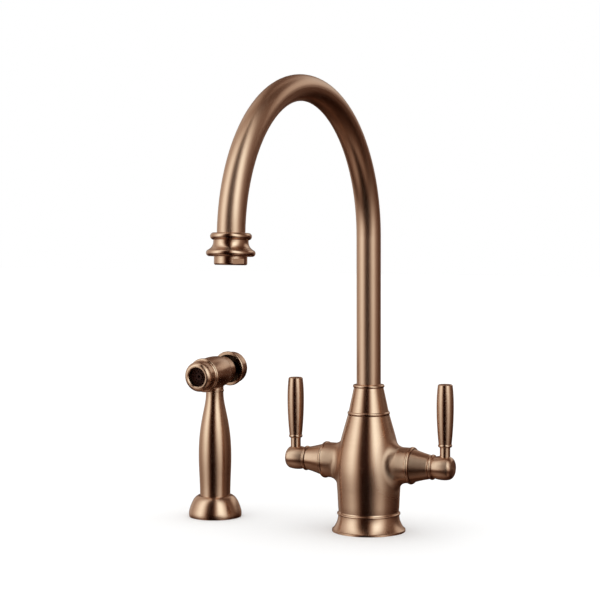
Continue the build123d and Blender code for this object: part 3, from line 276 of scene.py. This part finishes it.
def makeCopperTone():
    numbers = {"Lines": 0.5, "Bands": 0.5, "Cloud": 0.5, "Crease": 0.0, "Edge": 0.0, "ShadeInHollow": 0.0,
               "Roughness": 0.3}
    inputs = [(name, "Float", value) for name, value in numbers.items()]
    inputs += [(name, "Color", None) for name in ("Pale", "Brown", "Dark", "Bright")]
    tree, given, out = newGroup("copperTone", inputs, [("Color", "Color"), ("Roughness", "Float")])

    def share(name, amount):
        return calc(tree, "MULTIPLY", given[name], tone[amount])

    def added(name, amount, value):
        return calc(tree, "MULTIPLY_ADD", given[name], tone[amount], value)

    streak = added("Lines", "lines", share("Bands", "bands"))
    patchy = added("Cloud", "clouds", streak)
    body = mixColour(tree, smooth(tree, patchy, *tone["brownToPale"]), given["Brown"], given["Pale"])
    # Rubbed wear and a painted highlight lighten the edges
    edged = mixColour(tree, share("Edge", "edgeWearAndHighlight"), body, given["Bright"])
    # Patina and painted shade darken the creases
    creased = mixColour(tree, share("Crease", "creasePatinaAndShade"), edged, given["Dark"])
    # Painted shade darkens and dims the insides of hollows
    deep = mixColour(tree, share("ShadeInHollow", "paintedHollowShade"), creased, given["Dark"])
    scaled = {0: deep, "Scale": added("ShadeInHollow", "paintedHollowDimming", 1.0)}
    shaded = addNode(tree, "ShaderNodeVectorMath", scaled, operation="SCALE").outputs["Vector"]
    fromMiddle = calc(tree, "SUBTRACT", streak, tone["middle"])
    rough = calc(tree, "MULTIPLY_ADD", fromMiddle, tone["roughLines"], given["Roughness"])
    dull = added("ShadeInHollow", "roughHollow", added("Crease", "roughCrease", rough))
    tree.links.new(shaded, out.inputs["Color"])
    tree.links.new(dull, out.inputs["Roughness"])
    return tree


# Places that follow the spout: across it in X and Y, along it in Z, with the way it runs
def spoutPlaces(tree, point):
    place = partsOf(tree, point)
    forward = calc(tree, "ADD", place["Y"], archRadius)
    up = calc(tree, "SUBTRACT", place["Z"], archHeight)
    leg = calc(tree, "MINIMUM", up, 0.0)
    turn = calc(tree, "MAXIMUM", calc(tree, "ARCTAN2", up, forward), 0.0)
    cosTurn, sinTurn = calc(tree, "COSINE", turn), calc(tree, "SINE", turn)
    acrossY = calc(tree, "SUBTRACT", forward, calc(tree, "MULTIPLY", cosTurn, archRadius))
    raised = calc(tree, "SUBTRACT", up, leg)
    acrossZ = calc(tree, "SUBTRACT", raised, calc(tree, "MULTIPLY", sinTurn, archRadius))
    outward = calc(tree, "MULTIPLY_ADD", acrossY, cosTurn, calc(tree, "MULTIPLY", acrossZ, sinTurn))
    run = calc(tree, "MULTIPLY_ADD", turn, archRadius, leg)
    local = vectorOf(tree, place["X"], outward, run)
    across = vectorOf(tree, place["X"], acrossY, acrossZ)
    along = vectorOf(tree, 0.0, calc(tree, "MULTIPLY", sinTurn, -1.0), cosTurn)
    return local, across, along


brushLines = makeBrushLines()
creaseAndEdge = makeCreaseAndEdge()
cloudAndSpeck = makeCloudAndSpeck()
copperTone = makeCopperTone()
print("shared finishes ready")

copper = {
    "pale": (0.64, 0.40, 0.285, 1),
    "brown": (0.585, 0.36, 0.25, 1),
    # dark: the patina and painted shade of creases, and the painted shade of hollows
    "dark": (0.13, 0.055, 0.03, 1),
    # bright: rubbed edges with a painted highlight
    "bright": (0.80, 0.54, 0.40, 1),
    "lineWidth": 0.00028,
    "lineLength": 0.016,
    "lineDepth": 0.000012,
    "lineStrength": 0.18,
    "hollowSoft": 0.0004,
    "rootDulling": 0.2,
}
gloss = {  # roughness, how much more of it there is across the lines, and which way they run
    "turned": (0.26, 0.82, 0.25),
    "outlet": (0.21, 0.82, 0.25),
    "arm": (0.29, 0.85, 0.25),
    "head": (0.25, 0.6, 0.25),
    "spout": (0.3, 0.3, 0.0),
}
lineWide = 1 / copper["lineWidth"]
lineLong = 1 / copper["lineLength"]

# Distances from the middle to the arms, where the body's lines give way to theirs, and the
# rounded join at the root of an arm: out from the middle, and round the arm's axis
armsBeyond = (0.027, 0.036)
armRoot = {"from": (0.016, 0.024), "to": (0.036, 0.044), "radius": (0.023, 0.032)}


# The lines of a piece turned about an axis: its own places, fine and broad lines, and the way round
def turnedLines(tree, point, at, turn):
    inputs = {"Vector": point, "Location": at, "Rotation": turn}
    local = addNode(tree, "ShaderNodeMapping", inputs, vector_type="TEXTURE").outputs[0]
    closeness = {"Vector": local, "Round": lineLong, "Height": lineWide, "Radius": lineWide}
    lines = useGroup(tree, brushLines, closeness)
    axis = Euler(turn).to_matrix() @ Vector((0, 0, 1))
    ring = vectorCalc(tree, "CROSS_PRODUCT", tuple(axis), vectorCalc(tree, "SUBTRACT", point, at))
    return local, lines["Lines"], lines["Bands"], ring


# Where a point is inside one of the hollows that get painted shade, each a radius and two heights
# on the piece's own axis
def inHollows(tree, local, hollows):
    height = partsOf(tree, local)["Z"]
    radius = fromAxis(tree, local)
    soft = copper["hollowSoft"]
    inside = 0.0
    for within, low, high in hollows:
        near = smooth(tree, radius, within, within + soft, 1.0, 0.0)
        above = smooth(tree, height, low - soft, low)
        below = smooth(tree, height, high, high + soft, 1.0, 0.0)
        inside = calc(tree, "MAXIMUM", inside, product(tree, near, above, below))
    return inside


def copperShader(tree, point, fine, bands, ring, look, dulling=0.0, hollow=0.0):
    roughness, anisotropy, spin = gloss[look]
    if dulling:
        roughness = calc(tree, "MULTIPLY_ADD", dulling, copper["rootDulling"], roughness)
    wearAndLight = useGroup(tree, creaseAndEdge, {})
    clouds = useGroup(tree, cloudAndSpeck, {"Vector": point})
    agedAndShaded = useGroup(tree, copperTone, {
        "Lines": fine, "Bands": bands, "Cloud": clouds["Cloud"],
        "Crease": wearAndLight["Crease"], "Edge": wearAndLight["Edge"], "ShadeInHollow": hollow,
        "Pale": copper["pale"], "Brown": copper["brown"], "Dark": copper["dark"], "Bright": copper["bright"],
        "Roughness": roughness,
    })
    height = {"Height": fine, "Strength": copper["lineStrength"], "Distance": copper["lineDepth"]}
    bump = addNode(tree, "ShaderNodeBump", height).outputs[0]
    tangent = addNode(tree, "ShaderNodeVectorTransform", {0: ring}, vector_type="VECTOR").outputs[0]
    finishMaterial(tree, Base_Color=agedAndShaded["Color"], Metallic=1.0, Roughness=agedAndShaded["Roughness"], Normal=bump,
                   Anisotropic=anisotropy, Anisotropic_Rotation=spin, Tangent=tangent)


def turnedCopper(name, at, turn=(0, 0, 0), look="turned", hollows=()):
    material, tree = newMaterial(name)
    point = addNode(tree, "ShaderNodeTexCoord").outputs["Object"]
    local, fine, bands, ring = turnedLines(tree, point, at, turn)
    # painted shade inside the hollows
    hollow = inHollows(tree, local, hollows)
    copperShader(tree, point, fine, bands, ring, look, hollow=hollow)
    return material


# The body's lines run round it, and round each arm beyond the join, which is duller
def bodyCopper(name):
    material, tree = newMaterial(name)
    point = addNode(tree, "ShaderNodeTexCoord").outputs["Object"]
    _, bodyFine, bodyBands, bodyRing = turnedLines(tree, point, (0, 0, 0), (0, 0, 0))
    armLocal, armFine, armBands, armRing = turnedLines(tree, point, (0, 0, armHeight), towardsArms)
    side = calc(tree, "ABSOLUTE", partsOf(tree, point)["X"])
    onArm = smooth(tree, side, *armsBeyond)
    fine = mixNumber(tree, onArm, bodyFine, armFine)
    bands = mixNumber(tree, onArm, bodyBands, armBands)
    ring = mixVector(tree, onArm, bodyRing, armRing)
    outFrom = smooth(tree, side, *armRoot["from"])
    outTo = smooth(tree, side, *armRoot["to"], 1.0, 0.0)
    closeToArm = smooth(tree, fromAxis(tree, armLocal), *armRoot["radius"], 1.0, 0.0)
    copperShader(tree, point, fine, bands, ring, "turned", product(tree, outFrom, outTo, closeToArm))
    return material


def spoutCopper(name):
    material, tree = newMaterial(name)
    point = addNode(tree, "ShaderNodeTexCoord").outputs["Object"]
    local, across, along = spoutPlaces(tree, point)
    closeness = {"Vector": local, "Round": lineWide, "Height": lineLong, "Radius": 0.0}
    lines = useGroup(tree, brushLines, closeness)
    ring = vectorCalc(tree, "CROSS_PRODUCT", along, across)
    copperShader(tree, point, lines["Lines"], lines["Bands"], ring, "spout")
    return material


# The hollows of a piece are the insides that get painted shade: a radius and two heights on its own axis
turnedPieces = {
    "copperBody": {"at": (0, 0, 0), "pieces": ["foot_ring", "spout_bonnet", "spout_shank"]},
    "copperArms": {"at": (0, 0, armHeight), "turn": towardsArms, "look": "arm",
                   "pieces": ["hot_arm_bonnet", "cold_arm_bonnet", "hot_lever_hub", "cold_lever_hub"]},
    "copperHotLever": {"at": (-leverOut, 0, 0), "pieces": ["hot_lever_stem", "hot_lever_grip"]},
    "copperColdLever": {"at": (leverOut, 0, 0), "pieces": ["cold_lever_stem", "cold_lever_grip"]},
    "copperOutlet": {"at": outletMouth, "turn": alongOutlet, "look": "outlet",
                     "hollows": [(0.0105, -0.001, 0.012)], "pieces": ["outlet_fitting", "aerator_housing"]},
    "copperSpray": {"at": (sprayOut, 0, 0), "pieces": ["spray_holder", "wand_handle", "neck_ring"]},
    "copperHead": {"at": (sprayOut, 0, headHeight), "turn": alongHead, "look": "head",
                   "hollows": [(0.0135, -0.036, -0.0183), (0.0091, 0.020, 0.0328)],
                   "pieces": ["head_barrel", "nozzle_shell", "thumb_cup"]},
}
finishes = {"valve_body": bodyCopper("copperValveBody"), "spout_tube": spoutCopper("copperSpout")}
for materialName, given in turnedPieces.items():
    pieces = given.pop("pieces")
    finishes.update(dict.fromkeys(pieces, turnedCopper(materialName, **given)))


# Plain finishes of the inner pieces
plain = {
    "rawBrass": {"colour": (0.72, 0.55, 0.27, 1), "second": (0.60, 0.43, 0.19, 1), "metal": 1.0,
                 "rough": 0.32, "specular": 0.5, "grit": 1800.0, "depth": 0.00001},
    "blackRubber": {"colour": (0.018, 0.017, 0.016, 1), "second": (0.035, 0.033, 0.031, 1), "metal": 0.0,
                    "rough": 0.62, "specular": 0.4, "grit": 2600.0, "depth": 0.00003},
    "whitePlastic": {"colour": (0.80, 0.79, 0.74, 1), "second": (0.73, 0.71, 0.66, 1), "metal": 0.0,
                     "rough": 0.42, "specular": 0.5, "grit": 1500.0, "depth": 0.00001},
    "darkPlastic": {"colour": (0.040, 0.0115, 0.006, 1), "second": (0.022, 0.006, 0.0035, 1), "metal": 0.0,
                    "rough": 0.5, "specular": 0.12, "grit": 2200.0, "depth": 0.00002},
    "ceramicDisc": {"colour": (0.90, 0.89, 0.86, 1), "second": (0.85, 0.84, 0.80, 1), "metal": 0.0,
                    "rough": 0.18, "specular": 0.5, "grit": 900.0, "depth": 0.000004},
    "springSteel": {"colour": (0.58, 0.58, 0.57, 1), "second": (0.46, 0.46, 0.46, 1), "metal": 1.0,
                    "rough": 0.27, "specular": 0.5, "grit": 3000.0, "depth": 0.000008},
}

# Their cloudy change, common to all: the clouds' scale, and how much each cause changes the finish
mottle = {
    "cloud": 90.0,
    "clouds": 0.7,
    "specks": 0.3,
    "middle": 0.5,
    "blend": (0.35, 0.65),
    "roughClouds": 0.15,
    "bump": 0.4,
}


def plainFinish(name, look):
    material, tree = newMaterial(name)
    point = addNode(tree, "ShaderNodeTexCoord").outputs["Object"]
    scales = {"Vector": point, "Cloud": mottle["cloud"], "Speck": look["grit"]}
    mottled = useGroup(tree, cloudAndSpeck, scales)
    specks = calc(tree, "MULTIPLY", mottled["Speck"], mottle["specks"])
    blend = calc(tree, "MULTIPLY_ADD", mottled["Cloud"], mottle["clouds"], specks)
    colour = mixColour(tree, smooth(tree, blend, *mottle["blend"]), look["colour"], look["second"])
    fromMiddle = calc(tree, "SUBTRACT", mottled["Cloud"], mottle["middle"])
    rough = calc(tree, "MULTIPLY_ADD", fromMiddle, mottle["roughClouds"], look["rough"])
    height = {"Height": mottled["Speck"], "Strength": mottle["bump"], "Distance": look["depth"]}
    bump = addNode(tree, "ShaderNodeBump", height).outputs[0]
    finishMaterial(tree, Base_Color=colour, Metallic=look["metal"], Roughness=rough, Normal=bump,
                   Specular_IOR_Level=look["specular"])
    return material


plainMaterials = {name: plainFinish(name, look) for name, look in plain.items()}
slotFinish = {
    "raw_brass": "rawBrass",
    "black_rubber": "blackRubber",
    "white_plastic": "whitePlastic",
    "dark_plastic": "darkPlastic",
    "ceramic": "ceramicDisc",
    "spring_steel": "springSteel",
}
for nodeName, cadNode in nodes.items():
    slot = cadNode.material_slots[0]
    slotName = slot.material.name.split(".")[0]
    if nodeName in finishes:
        slot.material = finishes[nodeName]
    elif slotName in slotFinish:
        slot.material = plainMaterials[slotFinish[slotName]]
    else:
        slot.material = finishes["foot_ring"]
print("finishes on", len(nodes), "pieces")


# Geometry Nodes pieces
def newTree(name, inputs):
    tree = bpy.data.node_groups.new(name, "GeometryNodeTree")
    tree.interface.new_socket("Geometry", in_out="OUTPUT", socket_type="NodeSocketGeometry")
    for socketName, kind, value in inputs:
        made = tree.interface.new_socket(socketName, in_out="INPUT", socket_type="NodeSocket" + kind)
        made.default_value = value
    return tree, tree.nodes.new("NodeGroupInput").outputs, tree.nodes.new("NodeGroupOutput")


def growPiece(name, tree, values, body):
    holder = bpy.data.objects.new(name + "Grower", bpy.data.meshes.new(name + "Grower"))
    scene.collection.objects.link(holder)
    modifier = holder.modifiers.new(name, "NODES")
    modifier.node_group = tree
    for item in tree.interface.items_tree:
        if item.item_type == "SOCKET" and item.in_out == "INPUT" and item.name in values:
            modifier[item.identifier] = values[item.name]
    grown = holder.evaluated_get(bpy.context.evaluated_depsgraph_get())
    mesh = bpy.data.meshes.new_from_object(grown)
    mesh.name = name
    bpy.data.objects.remove(holder)
    piece = bpy.data.objects.new(name, mesh)
    scene.collection.objects.link(piece)
    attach(piece, body)
    print("grown:", name, len(mesh.polygons), "faces")
    return piece


def endTree(tree, out, geometry, place, spin, material):
    moved = moveBy(tree, geometry, Translation=place, Rotation=spin)
    real = addNode(tree, "GeometryNodeRealizeInstances", {"Geometry": moved})
    shaded = addNode(tree, "GeometryNodeSetShadeSmooth", {"Geometry": real.outputs[0]})
    painted = addNode(tree, "GeometryNodeSetMaterial", {"Geometry": shaded.outputs[0], "Material": material})
    tree.links.new(painted.outputs[0], out.inputs["Geometry"])


def joinParts(tree, *parts):
    join = tree.nodes.new("GeometryNodeJoinGeometry")
    for part in parts:
        tree.links.new(part, join.inputs[0])
    return join.outputs[0]


def circle(tree, radius, points):
    inputs = {"Resolution": points, "Radius": radius}
    return addNode(tree, "GeometryNodeCurvePrimitiveCircle", inputs).outputs[0]


def tube(tree, path, thickness, sides, closedEnds=False):
    inputs = {"Curve": path, "Profile Curve": circle(tree, thickness, sides), "Fill Caps": closedEnds}
    return addNode(tree, "GeometryNodeCurveToMesh", inputs).outputs[0]


def putAt(tree, points, piece, **inputs):
    inputs = {"Points": points, "Instance": piece, **inputs}
    return addNode(tree, "GeometryNodeInstanceOnPoints", inputs).outputs[0]


def moveBy(tree, piece, **inputs):
    return addNode(tree, "GeometryNodeTransform", {"Geometry": piece, **inputs}).outputs[0]


# The outlet's screen: two sets of wires woven over and under each other inside a ring
screen = {"radius": 0.0090, "pitch": 0.00094, "wire": 0.00012, "rim": 0.0002, "points": 72, "sides": 5,
          "rimPoints": 48, "rimSides": 8}


def makeScreen(material):
    low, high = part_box("aerator_screen")
    tree, given, out = newTree("wovenScreen", [
        ("Radius", "Float", screen["radius"]), ("Pitch", "Float", screen["pitch"]),
        ("Wire", "Float", screen["wire"]), ("Rim", "Float", screen["rim"]),
        ("Place", "Vector", (0, 0, 0)), ("Spin", "Vector", (0, 0, 0)),
    ])
    count = 2 * int(screen["radius"] / screen["pitch"]) + 1
    start = vectorOf(tree, calc(tree, "MULTIPLY", given["Pitch"], -(count - 1) / 2))
    row = {"Count": count, "Start Location": start, "Offset": vectorOf(tree, given["Pitch"])}
    places = addNode(tree, "GeometryNodeMeshLine", row, mode="OFFSET").outputs[0]
    ends = {"Start": (0, -1, 0), "End": (0, 1, 0)}
    line = addNode(tree, "GeometryNodeCurvePrimitiveLine", ends).outputs[0]
    fine = addNode(tree, "GeometryNodeResampleCurve", {"Curve": line, "Count": screen["points"]}).outputs[0]
    at = partsOf(tree, addNode(tree, "GeometryNodeInputPosition").outputs[0])
    square = calc(tree, "MULTIPLY", given["Radius"], given["Radius"])
    chord = calc(tree, "SQRT", calc(tree, "SUBTRACT", square, calc(tree, "MULTIPLY", at["X"], at["X"])))
    placed = putAt(tree, places, fine, Scale=vectorOf(tree, 1.0, chord, 1.0))
    wires = addNode(tree, "GeometryNodeRealizeInstances", {"Geometry": placed}).outputs[0]
    crossings = calc(tree, "DIVIDE", calc(tree, "ADD", at["X"], at["Y"]), given["Pitch"])
    wave = calc(tree, "COSINE", calc(tree, "MULTIPLY", crossings, math.pi))
    sets = []
    for side, turn in ((1.0, 0.0), (-1.0, math.pi / 2)):
        lift = vectorOf(tree, 0.0, 0.0, product(tree, wave, given["Wire"], side))
        woven = addNode(tree, "GeometryNodeSetPosition", {"Geometry": wires, "Offset": lift}).outputs[0]
        tubes = tube(tree, woven, given["Wire"], screen["sides"], closedEnds=True)
        sets.append(moveBy(tree, tubes, Rotation=(0, 0, turn)))
    ring = circle(tree, given["Radius"], screen["rimPoints"])
    rim = tube(tree, ring, given["Rim"], screen["rimSides"])
    endTree(tree, out, joinParts(tree, *sets, rim), given["Place"], given["Spin"], material)
    values = {"Place": tuple((low + high) / 2), "Spin": alongOutlet}
    return growPiece("wovenScreen", tree, values, "spout")


# Raised rims round the spray's jets, forward of the wand's centre line
jets = {"face": 0.0278, "boss": 0.0294, "rings": ((0.00495, 10), (0.0072, 16)), "jet": 0.00065,
        "centreJet": 0.0013, "rim": 0.0002, "points": 14, "centrePoints": 24, "sides": 6}


def makeJetRims(material):
    tree, given, out = newTree("jetRims", [
        ("Jet", "Float", jets["jet"]), ("Centre Jet", "Float", jets["centreJet"]),
        ("Rim", "Float", jets["rim"]), ("Place", "Vector", (0, 0, 0)), ("Spin", "Vector", (0, 0, 0)),
    ])

    def rimOf(jet, points):
        path = circle(tree, calc(tree, "ADD", given[jet], given["Rim"]), points)
        return tube(tree, path, given["Rim"], jets["sides"])

    one = rimOf("Jet", jets["points"])
    parts = []
    for radius, count in jets["rings"]:
        places = addNode(tree, "GeometryNodeMeshCircle", {"Vertices": count, "Radius": radius}).outputs[0]
        parts.append(moveBy(tree, putAt(tree, places, one), Translation=(0, 0, jets["face"])))
    centre = rimOf("Centre Jet", jets["centrePoints"])
    parts.append(moveBy(tree, centre, Translation=(0, 0, jets["boss"])))
    endTree(tree, out, joinParts(tree, *parts), given["Place"], given["Spin"], material)
    values = {"Place": (sprayOut, 0, headHeight), "Spin": alongHead}
    return growPiece("jetRims", tree, values, "wand")


wovenScreen = makeScreen(plainMaterials["springSteel"])
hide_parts("aerator_screen")
jetRims = makeJetRims(plainMaterials["darkPlastic"])

# The two springs are copies of their nodes, each fixed to the parent body of its joint
springs = {
    "diverterCoil": {"joint": "diverter_slide", "axis": (0, 0, 1), "anchor": (0, 0, 0.064)},
    "buttonCoil": {"joint": "spray_button_press", "axis": (0, math.cos(headTilt), math.sin(headTilt)),
                   "anchor": (sprayOut, 0.007, headHeight)},
}


def makeSpring(name, look, material):
    joint = joints[look["joint"]]
    nodeName = joint["deforming_nodes"][0]["node"]
    coil = bpy.data.objects.new(name, nodes[nodeName].data.copy())
    scene.collection.objects.link(coil)
    coil.data.materials.clear()
    coil.data.materials.append(material)
    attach(coil, joint["parent"])
    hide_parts(nodeName)
    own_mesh(coil)


for coilName, coilLook in springs.items():
    makeSpring(coilName, coilLook, plainMaterials["springSteel"])
print("grown pieces and springs ready")

# Camera at the photograph's angle
view = {
    "place": (0.6316, -1.3521, 0.2882),
    "down": math.radians(2.92),
    "turn": math.radians(27.446),
    "roll": -0.0022,
    "lens": 98.18,
    "sensor": 36.0,
    "nearest": 0.05,
}
cameraData = bpy.data.cameras.new("photoCamera")
cameraData.lens = view["lens"]
cameraData.sensor_width = view["sensor"]
cameraData.clip_start = view["nearest"]
camera = bpy.data.objects.new("photoCamera", cameraData)
scene.collection.objects.link(camera)
level = Euler((math.pi / 2 - view["down"], 0, view["turn"])).to_matrix()
camera.location = view["place"]
camera.rotation_euler = (level @ Matrix.Rotation(view["roll"], 3, "Z")).to_euler()
scene.camera = camera

# Plain pale floor
floorLook = {"half": 6.0, "colour": (0.815, 0.815, 0.812, 1), "second": (0.822, 0.822, 0.82, 1), "cloud": 3.0}
half = floorLook["half"]
corners = [(-half, -half, 0), (half, -half, 0), (half, half, 0), (-half, half, 0)]
floorMesh = bpy.data.meshes.new("floor")
floorMesh.from_pydata(corners, [], [(0, 1, 2, 3)])
floor = bpy.data.objects.new("floor", floorMesh)
scene.collection.objects.link(floor)
floorMaterial, floorTree = newMaterial("paleFloor")
floorPoint = addNode(floorTree, "ShaderNodeTexCoord").outputs["Object"]
floorCloud = useGroup(floorTree, cloudAndSpeck, {"Vector": floorPoint, "Cloud": floorLook["cloud"]})
floorColour = mixColour(floorTree, floorCloud["Cloud"], floorLook["colour"], floorLook["second"])
floorShader = addNode(floorTree, "ShaderNodeBsdfDiffuse", {"Color": floorColour})
addNode(floorTree, "ShaderNodeOutputMaterial", {"Surface": floorShader.outputs[0]})
floorMesh.materials.append(floorMaterial)
floor.visible_glossy = False
floor.visible_diffuse = False

# Soft studio light: two tall soft boxes left and right of the camera with a dark gap between
# them, a dim room behind, and even white light on the floor
studio = {
    "low": [  # degrees to the right of the camera, and brightness level with the piece
        (-180, 0.10), (-166, 0.16), (-150, 0.42), (-115, 0.36), (-92, 0.62), (-82, 0.80), (-71, 0.98),
        (-62, 0.94), (-55, 0.76), (-48, 0.54), (-41, 0.28), (-33, 0.07), (-26, 0.02), (-18, 0.010),
        (-4, 0.012), (6, 0.03), (14, 0.10), (21, 0.29), (29, 0.54), (37, 0.76), (45, 0.80),
        (54, 0.62), (63, 0.40), (74, 0.24), (90, 0.14), (112, 0.06), (134, 0.07), (150, 0.18),
        (166, 0.14), (180, 0.10),
    ],
    "high": [  # the same, seen 20 degrees higher
        (-180, 0.10), (-166, 0.16), (-150, 0.42), (-125, 0.34), (-103, 0.56), (-93, 0.72), (-85, 0.88),
        (-77, 1.0), (-69, 1.06), (-61, 0.94), (-54, 0.74), (-47, 0.46), (-40, 0.14), (-33, 0.03),
        (-20, 0.012), (-7, 0.025), (0, 0.12), (6, 0.40), (13, 0.80), (19, 1.1), (27, 1.24),
        (36, 1.16), (46, 0.92), (55, 0.62), (62, 0.36), (70, 0.20), (87, 0.14), (106, 0.08),
        (131, 0.08), (150, 0.34), (166, 0.16), (180, 0.10),
    ],
    "upright": [  # height in degrees and brightness
        (-90, 0.14), (-62, 0.30), (-46, 0.34), (-34, 0.16), (-24, 0.08), (-17, 0.26), (-10, 0.70),
        (-4, 0.95), (2, 1.0), (44, 1.0), (54, 0.84), (64, 0.68), (76, 0.56), (90, 0.5),
    ],
    "rise": (-8, 18),  # from this height to that, in degrees, the low boxes give way to the high ones
    "rear": {"turn": (88, 122, 150, 185), "rise": (8, 18, 30, 46), "light": 0.52},
    "gain": (1.58, 1.93, 1.95),
    "contrast": (1.0, 1.28, 1.42),
    "white": 1.06,
    "backdrop": (1.0, 1.0, 1.0, 1),
}


def rampNode(tree, value, stops, low, high):
    inputs = {"Value": value, "From Min": low, "From Max": high}
    place = addNode(tree, "ShaderNodeMapRange", inputs).outputs["Result"]
    made = addNode(tree, "ShaderNodeValToRGB", {"Fac": place})
    made.color_ramp.interpolation = "LINEAR"
    elements = made.color_ramp.elements
    for _ in range(len(stops) - len(elements)):
        elements.new(0.5)
    for element, (at, light) in zip(elements, stops):
        element.position = (at - math.degrees(low)) / math.degrees(high - low)
        element.color = (light, light, light, 1)
    return made.outputs["Color"]


# How much of a light is seen between four angles: it rises over the first two and falls over the others
def window(tree, angle, stops):
    start, full, ebb, end = (math.radians(stop) for stop in stops)
    return calc(tree, "MULTIPLY", smooth(tree, angle, start, full), smooth(tree, angle, ebb, end, 1.0, 0.0))


# The brightness of the studio that the metal reflects, in each direction
def studioLevel(tree, way):
    facing = view["turn"]
    ahead = vectorCalc(tree, "DOT_PRODUCT", way, (math.sin(facing), -math.cos(facing), 0))
    right = vectorCalc(tree, "DOT_PRODUCT", way, (math.cos(facing), math.sin(facing), 0))
    rise = calc(tree, "ARCSINE", partsOf(tree, way)["Z"])
    around = calc(tree, "ARCTAN2", right, ahead)
    lowLight = rampNode(tree, around, studio["low"], -math.pi, math.pi)
    highLight = rampNode(tree, around, studio["high"], -math.pi, math.pi)
    highShare = smooth(tree, rise, *(math.radians(stop) for stop in studio["rise"]))
    roundLight = mixColour(tree, highShare, lowLight, highLight)
    uprightLight = rampNode(tree, rise, studio["upright"], -math.pi / 2, math.pi / 2)
    rear = studio["rear"]
    wholeTurn = calc(tree, "WRAP", around, math.tau, 0.0)
    seen = product(tree, window(tree, wholeTurn, rear["turn"]), window(tree, rise, rear["rise"]))
    rearLight = calc(tree, "MULTIPLY", seen, rear["light"])
    return calc(tree, "MAXIMUM", calc(tree, "MULTIPLY", roundLight, uprightLight), rearLight)


# The camera sees the backdrop, dull surfaces are lit evenly, and reflections see the soft boxes
def makeWorld():
    world = bpy.data.worlds.new("studio")
    world.use_nodes = True
    tree = world.node_tree
    tree.nodes.clear()
    level = studioLevel(tree, addNode(tree, "ShaderNodeTexCoord").outputs["Generated"])
    channels = [
        calc(tree, "MULTIPLY", calc(tree, "POWER", level, power), gain)
        for gain, power in zip(studio["gain"], studio["contrast"])
    ]
    boxColour = addNode(tree, "ShaderNodeCombineColor", dict(enumerate(channels))).outputs[0]
    boxes, even, backdrop = (
        addNode(tree, "ShaderNodeBackground", {"Color": colour, "Strength": strength}).outputs[0]
        for colour, strength in ((boxColour, 1.0), ((1, 1, 1, 1), studio["white"]), (studio["backdrop"], 1.0))
    )
    path = addNode(tree, "ShaderNodeLightPath").outputs
    unseen = addNode(tree, "ShaderNodeMixShader", {0: path["Is Diffuse Ray"], 1: boxes, 2: even}).outputs[0]
    whole = addNode(tree, "ShaderNodeMixShader", {0: path["Is Camera Ray"], 1: unseen, 2: backdrop})
    addNode(tree, "ShaderNodeOutputWorld", {"Surface": whole.outputs[0]})
    world.cycles.sampling_method = "NONE"
    return world


scene.world = makeWorld()

# A very broad soft lamp overhead lights the floor and the plastic; the metal sees the boxes instead
lamp = {"strength": 0.95, "spread": math.radians(150), "tilt": (math.radians(12), math.radians(-8), 0)}
lampData = bpy.data.lights.new("overheadLamp", "SUN")
lampData.energy = lamp["strength"]
lampData.angle = lamp["spread"]
overhead = bpy.data.objects.new("overheadLamp", lampData)
overhead.rotation_euler = lamp["tilt"]
overhead.visible_glossy = False
scene.collection.objects.link(overhead)
scene.view_settings.view_transform = "Standard"
scene.view_settings.look = "None"
print("camera, floor and light ready")
